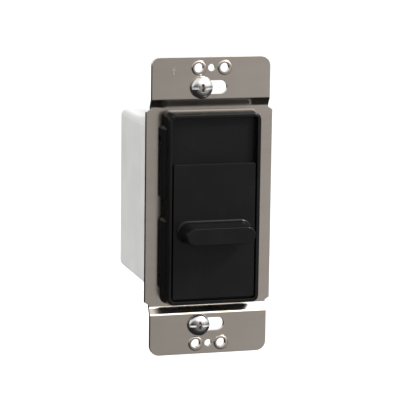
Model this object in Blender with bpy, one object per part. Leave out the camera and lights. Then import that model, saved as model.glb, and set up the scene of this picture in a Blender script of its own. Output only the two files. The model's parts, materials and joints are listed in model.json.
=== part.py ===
"""Decorator style slide dimmer: strap, black front frame and slider, grey rear housing and insides.

The frame: X to the right, Z up, +Y back into the wall. The origin is at the middle of the strap,
in the plane of the ears' front faces. Sizes are in millimetres until a mesh is made.
"""
import math

import bmesh
import bpy
from mathutils import Matrix, Vector

# ---------------------------------------------------------------- driving dimensions, millimetres
MM = 0.001
GAP = 0.3                    # clearance between neighbouring pieces

BOX_SCREW_Z = 41.67          # half of the 83.34 spacing of the wall box screws
PLATE_SCREW_Z = 48.42        # half of the 96.84 spacing of the wall plate screws

EAR_HALF_W = 21.1
EAR_TOP_Z = 52.15
EAR_CREASE_Z = 37.5          # where an ear ends and its joggle starts
PLATE_CREASE_Z = 35.2        # where the joggle reaches the middle plate
STRAP_T = 1.6
PLATE_RECESS = 1.6           # how far the middle plate sits behind the ears
PLATE_HALF_W = 22.6
PLATE_FRONT = PLATE_RECESS
PLATE_BACK = PLATE_RECESS + STRAP_T

SLOT_HALF_L = 5.65           # slots for the box screws
SLOT_HALF_H = 2.35
WINDOW_HALF_W = 5.0          # window in the plate for the fader's lever and the cam
WINDOW_Z = (-21.0, 16.0)

FRAME_FRONT = -5.8           # rim of the black frame
FRAME_BACK = PLATE_FRONT - GAP
FACE_HALF_W = 16.4
FACE_HALF_H = 33.2
BASE_HALF_W = 17.2
BASE_HALF_H = 33.9
PAD_HALF_W = 17.8            # the pads that stand out of the side walls at their foot
PAD_FRONT = -0.8             # where a pad's outer side ends and its sloping front starts
PAD_TOE = -3.5               # where the slope meets the side wall
PAD_Z = (2.0, 29.9)
PAD_SLANT = 2.1              # how much shorter a pad is on its outer side, at each end
OPENING_HALF_W = 15.15
OPENING_HALF_H = 31.6
FLOOR_FRONT = -2.9
FLOOR_BACK = -1.4

TRAVEL = 15.2                # full stroke of the slider
SLIDER_Z = -TRAVEL / 2       # middle of the slider at its lowest place
SLIDER_HALF_W = 14.65
SLIDER_HALF_H = 23.5
SLIDER_FRONT = -5.7          # nearly level with the rim of the frame
SLIDER_BACK = FLOOR_FRONT - GAP
BAR_FRONT = -15.2
STEM_HALF_W = 2.2
STEM_HALF_H = 3.2

CARRIAGE_FRONT = 0.1
CARRIAGE_BACK = FRAME_BACK
RAIL_X = 7.6                 # inner side of the guide rails

CAM_TOUCH_Z = -4.0           # height where the switch lever's nose meets the cam
CAM_BACK = 3.9               # the cam's back edge there, at rest
CAM_SLOPE = 0.08
CAM_Z = (-19.6, -3.0)
PIVOT_Y = 5.4                # pivot of the switch lever
PIVOT_Z = 5.0

FADER_X = -3.4
TRIAC_X = -13.9
TRIAC_SCREW_Z = 9.0
CHOKE_X = -8.2
CHOKE_Z = 12.5
CHOKE_MEAN_R = 6.9
CHOKE_HALF_R = 2.1           # half the width of the ring's section
CHOKE_Y = (14.8, 21.8)
WIRE_R = 0.42
WIRE_TURNS = 15
BOARD_FRONT = 11.2
BOARD_BACK = 12.8

HOUSING_Z = 0.5              # middle of the housing
HOUSING_HALF_W = 21.6
HOUSING_HALF_H = 28.8
HOUSING_FRONT = PLATE_BACK + GAP
HOUSING_BACK = 42.5
WALL = 1.8
BOSS_X = 16.6
BOSS_DZ = 23.7
BOSS_R = 3.4

TERMINAL_Z = (15.0, 0.5, -14.0)
TERMINAL_Y = 27.5

GROUND_Y = 8.6               # axis of the ground screw
RIVET_Z = -31.0
SCREW_X = -3.65              # where the captive screws sit in their slots
LEG_Z = 17.2                 # legs of the frame that hook behind the strap
LEG_HALF = 1.7


# ---------------------------------------------------------------- helpers
def clear_scene():
    for obj in list(bpy.data.objects):
        bpy.data.objects.remove(obj, do_unlink=True)


def material(name, colour, roughness, metallic=0.0):
    mat = bpy.data.materials.get(name)
    if mat:
        return mat
    mat = bpy.data.materials.new(name)
    mat.use_nodes = True
    shader = mat.node_tree.nodes["Principled BSDF"]
    shader.inputs["Base Color"].default_value = (*colour, 1.0)
    shader.inputs["Roughness"].default_value = roughness
    shader.inputs["Metallic"].default_value = metallic
    return mat


def steel():
    return material("brushed_strap_steel", (0.30, 0.27, 0.24), 0.38, 1.0)


def bright_steel():
    return material("bright_screw_steel", (0.62, 0.62, 0.62), 0.2, 1.0)


def black_plastic():
    return material("black_plastic", (0.012, 0.012, 0.013), 0.35)


def grey_plastic():
    return material("light_grey_plastic", (0.62, 0.62, 0.61), 0.5)


def brass():
    return material("terminal_brass", (0.62, 0.42, 0.16), 0.3, 1.0)


def add_box(bm, low, high):
    corners = [Vector((x, y, z)) for x in (low[0], high[0]) for y in (low[1], high[1])
               for z in (low[2], high[2])]
    verts = [bm.verts.new(c) for c in corners]
    for face in ((0, 1, 3, 2), (4, 6, 7, 5), (0, 4, 5, 1), (2, 3, 7, 6), (0, 2, 6, 4), (1, 5, 7, 3)):
        bm.faces.new([verts[i] for i in face])


def add_loft(bm, sections):
    """Join closed outlines with equal point counts into one closed solid."""
    rings = [[bm.verts.new(p) for p in section] for section in sections]
    count = len(rings[0])
    for lower, upper in zip(rings, rings[1:]):
        for i in range(count):
            j = (i + 1) % count
            bm.faces.new((lower[i], lower[j], upper[j], upper[i]))
    bm.faces.new(list(reversed(rings[0])))
    bm.faces.new(rings[-1])


def circle(axis, centre, radius, along, sides=20):
    """Points of a circle across the given axis, at a distance along it."""
    points = []
    for i in range(sides):
        turn = 2 * math.pi * (i + 0.5) / sides
        a, b = radius * math.cos(turn), radius * math.sin(turn)
        if axis == "x":
            points.append(Vector((along, centre[1] + a, centre[2] + b)))
        elif axis == "y":
            points.append(Vector((centre[0] + a, along, centre[2] + b)))
        else:
            points.append(Vector((centre[0] + a, centre[1] + b, along)))
    return points


def add_turned(bm, axis, centre, profile, sides=20):
    """A turned solid from (distance along the axis, radius) pairs."""
    add_loft(bm, [circle(axis, centre, radius, along, sides) for along, radius in profile])


def add_rod(bm, axis, centre, radius, start, end, sides=20):
    add_turned(bm, axis, centre, ((start, radius), (end, radius)), sides)


def rounded_rect(half_w, half_h, radius, steps=4):
    """Outline in X and Z, anticlockwise from the lower right corner."""
    points = []
    for quarter, (sx, sz) in enumerate(((1, -1), (1, 1), (-1, 1), (-1, -1))):
        cx, cz = sx * (half_w - radius), sz * (half_h - radius)
        for step in range(steps + 1):
            turn = math.radians(-90 + 90 * (quarter + step / steps))
            points.append((cx + radius * math.cos(turn), cz + radius * math.sin(turn)))
    return points


def rect_section(y, half_w, half_h, radius, steps=4, centre_z=0.0):
    return [Vector((x, y, z + centre_z)) for x, z in rounded_rect(half_w, half_h, radius, steps)]


def add_prism(bm, outline, low, high, axis="x"):
    """Extrude an outline of (y, z) along X, or of (x, z) along Y."""
    if axis == "x":
        sections = [[Vector((along, a, b)) for a, b in outline] for along in (low, high)]
    else:
        sections = [[Vector((a, along, b)) for a, b in outline] for along in (low, high)]
    add_loft(bm, sections)


def make(name, bm, mat, origin=(0.0, 0.0, 0.0), smooth=True):
    """Turn a mesh drawn in millimetres into an object with its origin where it is wanted."""
    bmesh.ops.recalc_face_normals(bm, faces=bm.faces)
    offset = Vector(origin)
    bmesh.ops.transform(bm, matrix=Matrix.Scale(MM, 4) @ Matrix.Translation(-offset), verts=bm.verts)
    mesh = bpy.data.meshes.new(name)
    bm.to_mesh(mesh)
    bm.free()
    if smooth:
        mesh.shade_smooth()
        mesh.set_sharp_from_angle(angle=math.radians(32))
    obj = bpy.data.objects.new(name, mesh)
    obj.location = offset * MM
    bpy.context.collection.objects.link(obj)
    if mat:
        mesh.materials.append(mat)
    return obj


def combine(target, bm, operation):
    """Cut a tool out of an object, or join it on, with an exact Boolean."""
    count = len(target.modifiers) + 1
    tool = make(f"{target.name}_tool_{count}", bm, None, smooth=False)
    tool.hide_render = True
    tool.display_type = "WIRE"
    modifier = target.modifiers.new(f"{operation.lower()}_{count}", "BOOLEAN")
    modifier.operation = operation
    modifier.object = tool
    modifier.solver = "EXACT"


def cut(target, bm):
    combine(target, bm, "DIFFERENCE")


def join(target, bm):
    combine(target, bm, "UNION")


# ---------------------------------------------------------------- strap
def strap_depth(z):
    """Distance of the front face behind the ears' plane at a height."""
    share = (EAR_CREASE_Z - abs(z)) / (EAR_CREASE_Z - PLATE_CREASE_Z)
    return PLATE_RECESS * min(max(share, 0.0), 1.0)


def strap_rows():
    """Heights and half widths from the middle to the top of the strap."""
    corner = 3.4
    rows = [(33.3, PLATE_HALF_W), (34.3, EAR_HALF_W), (PLATE_CREASE_Z, EAR_HALF_W),
            (EAR_CREASE_Z, EAR_HALF_W)]
    for step in range(6):
        turn = math.radians(90 * step / 5)
        rows.append((EAR_TOP_Z - corner + corner * math.sin(turn),
                     EAR_HALF_W - corner + corner * math.cos(turn)))
    return rows


def strap_blank():
    """The bent strip: one section across it at each height where its width or depth changes."""
    rows = strap_rows()
    rows = [(-z, half_w) for z, half_w in reversed(rows)] + rows
    sections = []
    for z, half_w in rows:
        front = strap_depth(z)
        back = front + STRAP_T
        sections.append([Vector(p) for p in ((-half_w, front, z), (half_w, front, z),
                                             (half_w, back, z), (-half_w, back, z))])
    bm = bmesh.new()
    add_loft(bm, sections)
    return bm


def slot_outline(half_l, half_h, centre_z):
    return [(x, z + centre_z) for x, z in rounded_rect(half_l, half_h, half_h - 0.01, 5)]


def boss_places():
    return [(side * 4.6, end * PLATE_SCREW_Z) for side in (-1, 1) for end in (-1, 1)]


def housing_screw_places():
    return [(side * BOSS_X, HOUSING_Z + end * BOSS_DZ) for end in (1, -1) for side in (-1, 1)]


def strap_holes():
    bm = bmesh.new()
    for end in (-1, 1):
        add_prism(bm, slot_outline(SLOT_HALF_L, SLOT_HALF_H, end * BOX_SCREW_Z), -1.0, 3.0, "y")
        add_rod(bm, "y", (0, 0, end * PLATE_SCREW_Z), 1.4, -1.0, 3.0, 16)
    for x, z in boss_places():
        add_rod(bm, "y", (x, 0, z), 1.65, -2.0, 3.0, 16)
    add_box(bm, (-WINDOW_HALF_W, 0.5, WINDOW_Z[0]), (WINDOW_HALF_W, 4.5, WINDOW_Z[1]))
    for x, z in housing_screw_places():
        add_rod(bm, "y", (x, 0, z), 1.55, 0.5, 4.5, 16)
    for side in (-1, 1):
        for end in (-1, 1):
            low_x, high_x = sorted((side * 15.6, side * 17.5))
            add_box(bm, (low_x, 0.5, end * LEG_Z - LEG_HALF - 0.4),
                    (high_x, 4.5, end * LEG_Z + LEG_HALF + 0.4))
    add_rod(bm, "y", (TRIAC_X, 0, TRIAC_SCREW_Z), 1.7, 0.5, 4.5, 16)
    add_rod(bm, "y", (0, 0, RIVET_Z), 1.5, 0.5, 4.5, 16)
    return bm


def build_strap():
    strap = make("strap", strap_blank(), steel())
    bosses = bmesh.new()
    for x, z in boss_places():
        add_turned(bosses, "y", (x, 0, z), ((-0.9, 2.45), (-0.6, 2.7), (0.8, 2.75)), 20)
    join(strap, bosses)
    cut(strap, strap_holes())


# ---------------------------------------------------------------- front frame
def build_front_frame():
    bm = bmesh.new()
    sections = ((FRAME_BACK, BASE_HALF_W, BASE_HALF_H, 2.6), (-2.4, BASE_HALF_W - 0.1, 33.6, 2.6),
                (-5.3, FACE_HALF_W + 0.1, FACE_HALF_H + 0.1, 2.3),
                (-5.6, FACE_HALF_W - 0.1, FACE_HALF_H - 0.1, 2.2),
                (FRAME_FRONT, FACE_HALF_W - 0.35, FACE_HALF_H - 0.35, 2.0))
    add_loft(bm, [rect_section(*section) for section in sections])
    frame = make("front_frame", bm, black_plastic())

    hollows = bmesh.new()
    add_loft(hollows, [rect_section(y, OPENING_HALF_W, OPENING_HALF_H, 0.8, 3) for y in (-7.0, FLOOR_FRONT)])
    add_loft(hollows, [rect_section(y, 15.3, 30.6, 0.8, 3) for y in (FLOOR_BACK, 3.0)])
    cut(frame, hollows)
    join(frame, frame_side_pads())

    stem_slot = bmesh.new()
    reach = TRAVEL / 2 + STEM_HALF_H + GAP
    add_box(stem_slot, (-STEM_HALF_W - GAP, -4.0, -reach), (STEM_HALF_W + GAP, 0.0, reach))
    cut(frame, stem_slot)
    join(frame, frame_rails_and_legs())


def frame_side_pads():
    """Two long pads at the foot of each side wall, with slanted ends and a sloping front."""
    root = BASE_HALF_W - 0.6
    low, high = PAD_Z
    bm = bmesh.new()
    for side in (-1, 1):
        for end in (-1, 1):
            sections = []
            for y, outer, slant in ((FRAME_BACK, PAD_HALF_W, PAD_SLANT), (PAD_FRONT, PAD_HALF_W, PAD_SLANT),
                                    (PAD_TOE, root + 0.2, 0.4)):
                outline = ((root, low), (outer, low + slant), (outer, high - slant), (root, high))
                sections.append([Vector((side * x, y, end * z)) for x, z in outline])
            add_loft(bm, sections)
    return bm


def frame_rails_and_legs():
    bm = bmesh.new()
    for side in (-1, 1):
        low, high = sorted((side * RAIL_X, side * (RAIL_X + 1.1)))
        add_box(bm, (low, FLOOR_BACK - 0.4, -24.0), (high, 0.9, 24.0))
        for end in (-1, 1):
            outline = [(15.9, 0.6), (17.2, 0.6), (17.2, PLATE_BACK + GAP), (18.1, PLATE_BACK + GAP),
                       (17.9, 4.4), (16.9, 5.4), (15.9, 5.4)]
            z = end * LEG_Z
            sections = [[Vector((side * x, y, along)) for x, y in outline]
                        for along in (z - LEG_HALF, z + LEG_HALF)]
            add_loft(bm, sections)
    return bm


# ---------------------------------------------------------------- slider
def stadium_section(y, half_l, half_h, steps=5):
    return rect_section(y, half_l, half_h, half_h - 0.01, steps, SLIDER_Z)


def build_slider_plate():
    origin = (0.0, SLIDER_BACK, SLIDER_Z)
    bm = bmesh.new()
    edge = 0.25
    add_loft(bm, [rect_section(SLIDER_BACK, SLIDER_HALF_W, SLIDER_HALF_H, 0.6, 2, SLIDER_Z),
                  rect_section(SLIDER_FRONT + edge, SLIDER_HALF_W, SLIDER_HALF_H, 0.6, 2, SLIDER_Z),
                  rect_section(SLIDER_FRONT, SLIDER_HALF_W - edge, SLIDER_HALF_H - edge, 0.6, 2, SLIDER_Z)])
    plate = make("slider_plate", bm, black_plastic(), origin)
    bar = bmesh.new()
    foot = SLIDER_FRONT
    profile = ((foot + 0.6, 13.2, 4.1), (foot - 0.1, 13.0, 3.9), (foot - 0.5, 12.6, 3.4),
               (foot - 1.2, 12.3, 3.1), (BAR_FRONT + 0.6, 12.1, 2.85), (BAR_FRONT + 0.1, 11.95, 2.7),
               (BAR_FRONT, 11.8, 2.55))
    add_loft(bar, [stadium_section(*row) for row in profile])
    join(plate, bar)
    stem = bmesh.new()
    add_box(stem, (-STEM_HALF_W, SLIDER_BACK - 0.5, SLIDER_Z - STEM_HALF_H),
            (STEM_HALF_W, CARRIAGE_FRONT - GAP, SLIDER_Z + STEM_HALF_H))
    join(plate, stem)
    pilot = bmesh.new()
    add_rod(pilot, "y", (0, 0, SLIDER_Z), 1.2, -3.6, 1.0, 12)
    cut(plate, pilot)


def build_slide_carriage():
    origin = (0.0, CARRIAGE_FRONT, SLIDER_Z)
    half_w = RAIL_X - 0.4
    bm = bmesh.new()
    add_box(bm, (-half_w, CARRIAGE_FRONT, -20.0), (half_w, CARRIAGE_BACK, 3.0))
    carriage = make("slide_carriage", bm, material("natural_acetal", (0.75, 0.73, 0.66), 0.45), origin)
    cam = bmesh.new()
    add_prism(cam, cam_outline(), 3.5, 4.5, "x")
    join(carriage, cam)
    holes = bmesh.new()
    add_rod(holes, "y", (0, 0, SLIDER_Z), 1.2, -1.0, 3.0, 12)
    add_box(holes, (FADER_X - 0.9, -1.0, SLIDER_Z - 2.3), (FADER_X + 0.9, 3.0, SLIDER_Z + 2.3))
    cut(carriage, holes)


def cam_outline():
    """Side view of the sloping rib that tips the switch lever as the slider rises."""
    low, top = CAM_Z
    root = CARRIAGE_BACK - 0.4
    low_back, top_back = (CAM_BACK + CAM_SLOPE * (CAM_TOUCH_Z - z) for z in (low, top))
    return ((root, top), (root, low), (low_back, low), (top_back, top))


def build_carriage_screw():
    bm = bmesh.new()
    add_turned(bm, "y", (0, 0, SLIDER_Z), ((-3.0, 0.5), (-2.6, 0.9), (1.6, 0.9), (1.6001, 1.9), (2.4, 1.9),
                                          (2.8, 1.3)), 14)
    make("carriage_screw", bm, bright_steel(), (0.0, 1.6, SLIDER_Z))


def build_friction_spring():
    """A bowed leaf between the carriage and the floor of the frame."""
    bm = bmesh.new()
    outer, inner = [], []
    steps = 8
    for step in range(steps + 1):
        share = step / steps
        z = -15.5 + 14.0 * share
        rise = 0.55 * math.sin(math.pi * share)
        outer.append((-0.5 - rise, z))
        inner.append((-0.22 - rise, z))
    add_prism(bm, outer + list(reversed(inner)), 4.0, 6.8, "x")
    make("friction_spring", bm, bright_steel(), (5.4, -0.2, SLIDER_Z))


# ---------------------------------------------------------------- fader, switch and board
def build_fader():
    body = bmesh.new()
    add_box(body, (FADER_X - 4.4, 5.2, -18.0), (FADER_X + 4.4, BOARD_FRONT - GAP, 18.0))
    fader = make("fader_body", body, material("dark_green_phenolic", (0.03, 0.05, 0.04), 0.6))
    groove = bmesh.new()
    add_box(groove, (FADER_X - 2.3, 4.0, -11.5), (FADER_X + 2.3, 9.0, 11.5))
    cut(fader, groove)

    can = bmesh.new()
    add_box(can, (FADER_X - 5.1, 4.3, -18.7), (FADER_X + 5.1, 9.5, 18.7))
    cover = make("fader_cover", can, material("zinc_plate", (0.55, 0.55, 0.53), 0.35, 1.0))
    inside = bmesh.new()
    add_box(inside, (FADER_X - 4.7, 4.8, -18.3), (FADER_X + 4.7, 11.0, 18.3))
    cut(cover, inside)
    slot = bmesh.new()
    add_box(slot, (FADER_X - 1.1, 3.0, -10.3), (FADER_X + 1.1, 6.0, 10.3))
    cut(cover, slot)

    lever = bmesh.new()
    add_box(lever, (FADER_X - 1.9, 5.6, SLIDER_Z - 3.0), (FADER_X + 1.9, 8.6, SLIDER_Z + 3.0))
    lever_plastic = material("lever_acetal", (0.8, 0.8, 0.78), 0.4)
    wiper = make("fader_lever", lever, lever_plastic, (FADER_X, 5.6, SLIDER_Z))
    tongue = bmesh.new()
    add_box(tongue, (FADER_X - 0.6, 0.5, SLIDER_Z - 1.9), (FADER_X + 0.6, 6.0, SLIDER_Z + 1.9))
    join(wiper, tongue)


def build_switch():
    body = bmesh.new()
    add_box(body, (2.2, 7.3, -13.0), (9.4, BOARD_FRONT - GAP, 8.0))
    switch = make("switch_body", body, material("switch_phenolic", (0.02, 0.02, 0.02), 0.5))
    posts = bmesh.new()
    for low, high in ((2.2, 3.0), (8.6, 9.4)):
        add_box(posts, (low, 3.9, PIVOT_Z - 1.9), (high, 7.8, PIVOT_Z + 1.9))
    join(switch, posts)
    holes = bmesh.new()
    add_rod(holes, "x", (0, PIVOT_Y, PIVOT_Z), 1.0, 1.0, 11.0, 12)
    cut(switch, holes)

    pin = bmesh.new()
    add_rod(pin, "x", (0, PIVOT_Y, PIVOT_Z), 0.7, 2.0, 9.6, 12)
    lever = make("switch_lever", pin, bright_steel(), (5.8, PIVOT_Y, PIVOT_Z))
    blade = bmesh.new()
    outline = ((PIVOT_Y - 0.3, PIVOT_Z + 0.2), (PIVOT_Y + 0.2, PIVOT_Z + 0.2), (PIVOT_Y + 0.2, -4.8),
               (PIVOT_Y - 0.3, -4.8), (4.25, -4.4), (4.25, -3.6), (PIVOT_Y - 0.3, -2.6))
    add_prism(blade, outline, 3.7, 8.2, "x")
    join(lever, blade)


def build_circuit_board():
    bm = bmesh.new()
    low_z, high_z = HOUSING_Z - 26.5, HOUSING_Z + 26.5
    add_box(bm, (-19.3, BOARD_FRONT, low_z), (19.3, BOARD_BACK, high_z))
    board = make("circuit_board", bm, material("board_green", (0.02, 0.12, 0.05), 0.4))
    corners = bmesh.new()
    notch_x, notch_z = BOSS_X - BOSS_R - 0.4, BOSS_DZ - BOSS_R - 0.4
    for side in (-1, 1):
        low_x, high_x = sorted((side * notch_x, side * 22.0))
        add_box(corners, (low_x, 10.0, HOUSING_Z + notch_z), (high_x, 14.0, HOUSING_Z + 30.0))
        add_box(corners, (low_x, 10.0, HOUSING_Z - 30.0), (high_x, 14.0, HOUSING_Z - notch_z))
    cut(board, corners)


# ---------------------------------------------------------------- triac on the strap
def build_triac():
    x, hole_z = TRIAC_X, TRIAC_SCREW_Z
    pad = bmesh.new()
    add_box(pad, (x - 5.4, 3.5, -4.0), (x + 5.4, 3.8, 13.0))
    sheet = make("triac_pad", pad, material("mica", (0.6, 0.55, 0.42), 0.3))
    hole = bmesh.new()
    add_rod(hole, "y", (x, 0, hole_z), 1.7, 2.0, 5.0, 12)
    cut(sheet, hole)

    tab = bmesh.new()
    add_box(tab, (x - 5.0, 4.1, -3.0), (x + 5.0, 5.4, 12.3))
    triac = make("triac", tab, material("triac_epoxy", (0.02, 0.02, 0.022), 0.5))
    body = bmesh.new()
    add_box(body, (x - 4.9, 4.3, -3.2), (x + 4.9, 8.6, 5.9))
    for lead in (-2.54, 0.0, 2.54):
        outline = ((5.9, -2.0), (6.5, -2.0), (6.5, -6.4), (10.9, -6.4), (10.9, -7.0), (5.9, -7.0))
        add_prism(body, outline, x + lead - 0.4, x + lead + 0.4, "x")
    join(triac, body)
    bore = bmesh.new()
    add_rod(bore, "y", (x, 0, hole_z), 1.7, 3.0, 7.0, 12)
    cut(triac, bore)

    screw = bmesh.new()
    profile = ((1.9, 1.4), (5.7, 1.4), (5.7001, 2.7), (7.1, 2.7), (7.8, 1.8))
    add_turned(screw, "y", (x, 0, hole_z), profile, 14)
    make("triac_screw", screw, bright_steel())


# ---------------------------------------------------------------- parts behind the board
def build_choke():
    half = CHOKE_HALF_R
    core = bmesh.new()
    centre = (CHOKE_X, 0, CHOKE_Z)
    add_rod(core, "y", centre, CHOKE_MEAN_R + half, CHOKE_Y[0], CHOKE_Y[1], 28)
    ring = make("choke_core", core, material("iron_powder", (0.45, 0.4, 0.12), 0.6))
    bore = bmesh.new()
    add_rod(bore, "y", centre, CHOKE_MEAN_R - half, CHOKE_Y[0] - 2, CHOKE_Y[1] + 2, 28)
    cut(ring, bore)
    make("choke_winding", winding_mesh(), material("enamelled_copper", (0.55, 0.2, 0.08), 0.3, 1.0))


def winding_point(share):
    """A point of the wire at a share of its length: it circles the ring's section as it goes round."""
    around = math.radians(15 + 320 * share)
    loop = 2 * math.pi * WIRE_TURNS * share
    wire_gap = WIRE_R + 0.5
    half_y = (CHOKE_Y[1] - CHOKE_Y[0]) / 2
    c, s = math.cos(loop), math.sin(loop)
    squareness = 0.45
    radial = math.copysign(abs(c) ** squareness, c) * (CHOKE_HALF_R + wire_gap)
    axial = math.copysign(abs(s) ** squareness, s) * (half_y + wire_gap)
    radius = CHOKE_MEAN_R + radial
    y = (CHOKE_Y[0] + CHOKE_Y[1]) / 2 + axial
    return Vector((CHOKE_X + radius * math.cos(around), y, CHOKE_Z + radius * math.sin(around)))


def winding_mesh():
    per_turn, sides = 12, 5
    count = WIRE_TURNS * per_turn
    points = [winding_point(i / count) for i in range(count + 1)]
    rings = []
    up = Vector((0, 1, 0))
    for i, point in enumerate(points):
        ahead = points[min(i + 1, count)] - points[max(i - 1, 0)]
        ahead.normalize()
        side = (up - ahead * up.dot(ahead)).normalized()
        up = side
        other = ahead.cross(side)
        turn_step = 2 * math.pi / sides
        rings.append([point + WIRE_R * (math.cos(k * turn_step) * side + math.sin(k * turn_step) * other)
                      for k in range(sides)])
    bm = bmesh.new()
    add_loft(bm, rings)
    return bm


def build_small_parts():
    """The noise and timing parts on the back of the board."""
    start = BOARD_BACK + GAP
    film = bmesh.new()
    add_box(film, (2.6, start, 7.0), (14.4, start + 11.0, 20.4))
    make("film_capacitor", film, material("film_box", (0.35, 0.08, 0.05), 0.4))
    axial_part("power_resistor", 2.0, -4.0, 1.7, 9.0, material("resistor_body", (0.25, 0.35, 0.42), 0.5))
    axial_part("diac", 2.0, -10.0, 0.95, 4.5, material("diac_glass", (0.1, 0.16, 0.3), 0.2))
    disc_part("trigger_capacitor", -12.0, -8.0, 4.0, material("ceramic_disc", (0.5, 0.25, 0.05), 0.5))
    disc_part("varistor", -12.0, -16.0, 4.6, material("blue_disc", (0.03, 0.12, 0.4), 0.4))


def axial_part(name, x, z, radius, length, mat):
    y = BOARD_BACK + GAP + radius + 0.8
    bm = bmesh.new()
    half = length / 2
    add_turned(bm, "x", (0, y, z), ((x - half, radius * 0.75), (x - half + 0.5, radius),
                                   (x + half - 0.5, radius), (x + half, radius * 0.75)), 14)
    part = make(name, bm, mat)
    leads = bmesh.new()
    for side in (-1, 1):
        low, high = sorted((x + side * (half - 0.6), x + side * (half + 2.0)))
        add_box(leads, (low, y - 0.3, z - 0.3), (high, y + 0.3, z + 0.3))
    join(part, leads)
    feet = bmesh.new()
    for side in (-1, 1):
        low, high = sorted((x + side * (half + 1.5), x + side * (half + 2.1)))
        add_box(feet, (low, BOARD_BACK + GAP, z - 0.25), (high, y + 0.25, z + 0.25))
    join(part, feet)


def disc_part(name, x, z, radius, mat):
    y = BOARD_BACK + GAP + radius + 1.2
    bm = bmesh.new()
    add_turned(bm, "z", (x, y, 0), ((z - 1.5, radius * 0.7), (z - 1.0, radius), (z + 1.0, radius),
                                   (z + 1.5, radius * 0.7)), 18)
    part = make(name, bm, mat)
    leads = bmesh.new()
    for side in (-1, 1):
        middle = x + side * 2.4
        add_box(leads, (middle - 0.3, BOARD_BACK + GAP, z - 0.3), (middle + 0.3, y, z + 0.3))
    join(part, leads)


# ---------------------------------------------------------------- rear housing and terminals
def build_rear_housing():
    bm = bmesh.new()
    sections = ((HOUSING_FRONT, 0.0, 2.2), (HOUSING_BACK - 1.6, 0.0, 2.2), (HOUSING_BACK - 0.5, 0.4, 2.0),
                (HOUSING_BACK, 1.4, 1.6))
    add_loft(bm, [rect_section(y, HOUSING_HALF_W - inset, HOUSING_HALF_H - inset, radius, 4, HOUSING_Z)
                  for y, inset, radius in sections])
    housing = make("rear_housing", bm, grey_plastic())
    hollow = bmesh.new()
    add_loft(hollow, [rect_section(y, HOUSING_HALF_W - WALL, HOUSING_HALF_H - WALL, 0.8, 2, HOUSING_Z)
                      for y in (HOUSING_FRONT - 2.0, HOUSING_BACK - WALL)])
    cut(housing, hollow)
    inner = bmesh.new()
    for x, z in housing_screw_places():
        add_rod(inner, "y", (x, 0, z), BOSS_R, HOUSING_FRONT + 0.4, HOUSING_BACK - 1.0, 18)
    for side in (-1, 1):
        low, high = sorted((side * 17.4, side * (HOUSING_HALF_W - 1.0)))
        add_box(inner, (low, BOARD_BACK + GAP, HOUSING_Z - 3.0), (high, BOARD_BACK + 2.4, HOUSING_Z + 3.0))
    join(housing, inner)
    holes = bmesh.new()
    for x, z in housing_screw_places():
        add_rod(holes, "y", (x, 0, z), 1.55, 2.0, 36.0, 14)
    for z in TERMINAL_Z:
        add_box(holes, (18.0, TERMINAL_Y - 5.3, z - 5.2), (24.0, TERMINAL_Y + 5.3, z + 5.2))
        for side in (-1, 1):
            add_rod(holes, "y", (18.35, 0, z + side * 3.5), 1.1, 38.0, 44.0, 12)
    cut(housing, holes)
    counterbores = bmesh.new()
    for x, z in housing_screw_places():
        add_rod(counterbores, "y", (x, 0, z), 2.75, 34.5, 44.0, 16)
    cut(housing, counterbores)


def build_housing_screws():
    for number, (x, z) in enumerate(housing_screw_places(), 1):
        bm = bmesh.new()
        profile = ((1.9, 1.2), (34.8, 1.2), (34.8001, 2.4), (36.2, 2.4), (36.8, 1.6))
        add_turned(bm, "y", (x, 0, z), profile, 12)
        make(f"housing_screw_{number}", bm, bright_steel())


def build_terminals():
    """Three pressure plate terminals in the right side wall."""
    for number, z in enumerate(TERMINAL_Z, 1):
        axis = (0, TERMINAL_Y, z)
        contact = bmesh.new()
        add_box(contact, (16.4, BOARD_BACK + GAP, z - 2.4), (17.4, TERMINAL_Y, z + 2.4))
        strip = make(f"terminal_contact_{number}", contact, brass())
        pad = bmesh.new()
        add_box(pad, (16.3, TERMINAL_Y - 4.6, z - 4.8), (17.5, TERMINAL_Y + 4.6, z + 4.8))
        join(strip, pad)
        bore = bmesh.new()
        add_rod(bore, "x", axis, 2.2, 14.0, 20.0, 14)
        cut(strip, bore)

        clamp_bm = bmesh.new()
        add_box(clamp_bm, (18.9, TERMINAL_Y - 4.4, z - 4.6), (19.7, TERMINAL_Y + 4.4, z + 4.6))
        plated = material("plated_clamp", (0.6, 0.58, 0.5), 0.35, 1.0)
        clamp = make(f"terminal_clamp_{number}", clamp_bm, plated)
        clamp_bore = bmesh.new()
        add_rod(clamp_bore, "x", axis, 2.2, 17.0, 21.0, 14)
        cut(clamp, clamp_bore)
        driven_screw(f"terminal_screw_{number}", "x", axis, (13.4, 20.0, 21.9), 1.9, 3.9, brass())


def driven_screw(name, axis, centre, stations, shank_r, head_r, mat):
    """A pan head screw with a driver slot. Stations are its tip, the seat of its head and its crown."""
    tip, seat, crown = stations
    out = 1 if crown > seat else -1
    rise = abs(crown - seat)
    bm = bmesh.new()
    add_turned(bm, axis, centre, ((tip, shank_r * 0.7), (tip + out * 0.6, shank_r), (seat, shank_r),
                                 (seat + out * 0.0001, head_r), (seat + out * rise * 0.35, head_r),
                                 (seat + out * rise * 0.75, head_r * 0.8), (crown, head_r * 0.45)), 20)
    origin = list(centre)
    origin["xyz".index(axis)] = seat
    screw = make(name, bm, mat, origin)
    depth = rise * 0.6
    low_a, high_a = sorted((crown - out * depth, crown + out * 1.0))
    slot, cross = bmesh.new(), bmesh.new()
    long, wide, short = head_r + 1.0, 0.5, 1.9
    for bm, half_long in ((slot, long), (cross, short)):
        reach = [half_long, wide] if bm is slot else [wide, half_long]
        reach.insert("xyz".index(axis), 0.0)
        low = [c - r for c, r in zip(centre, reach)]
        high = [c + r for c, r in zip(centre, reach)]
        low["xyz".index(axis)], high["xyz".index(axis)] = low_a, high_a
        add_box(bm, low, high)
    cut(screw, slot)
    cut(screw, cross)


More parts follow.
